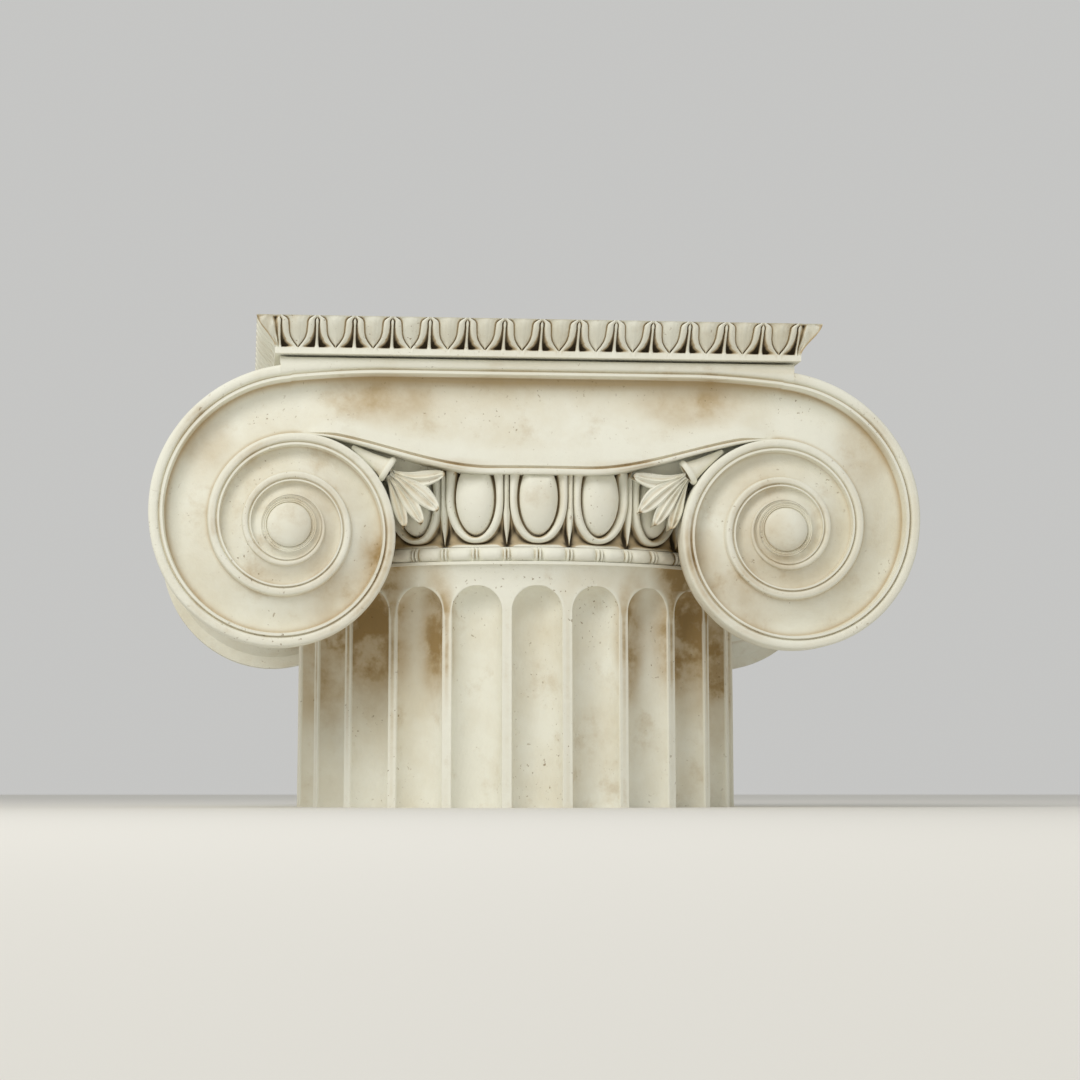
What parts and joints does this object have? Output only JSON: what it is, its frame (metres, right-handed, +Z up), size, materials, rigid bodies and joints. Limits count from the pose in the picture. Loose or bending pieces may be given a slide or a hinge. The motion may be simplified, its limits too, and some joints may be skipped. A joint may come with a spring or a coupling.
{
  "type": "ionic capital",
  "caption": "Carved limestone Ionic capital with scroll volutes, egg-and-dart and leaf-and-dart, on the fluted top of its shaft.",
  "frame": {"origin": "on the shaft's axis, at the flat cut at the foot of the shaft", "axes": "+Z up the shaft, front volutes towards -Y, the capital's width along X"},
  "size_m": [1.488, 1.0896, 0.93],
  "materials": {
    "capital_limestone": "dry tooled limestone, washed pale by rain with ochre stains in the hollows",
    "shaft_limestone": "dry tooled limestone, pale on the fillets and ochre in the flutes"
  },
  "bodies": {
    "root": {"capital": "capital_limestone", "shaft_top": "shaft_limestone"}
  },
  "joints": []
}
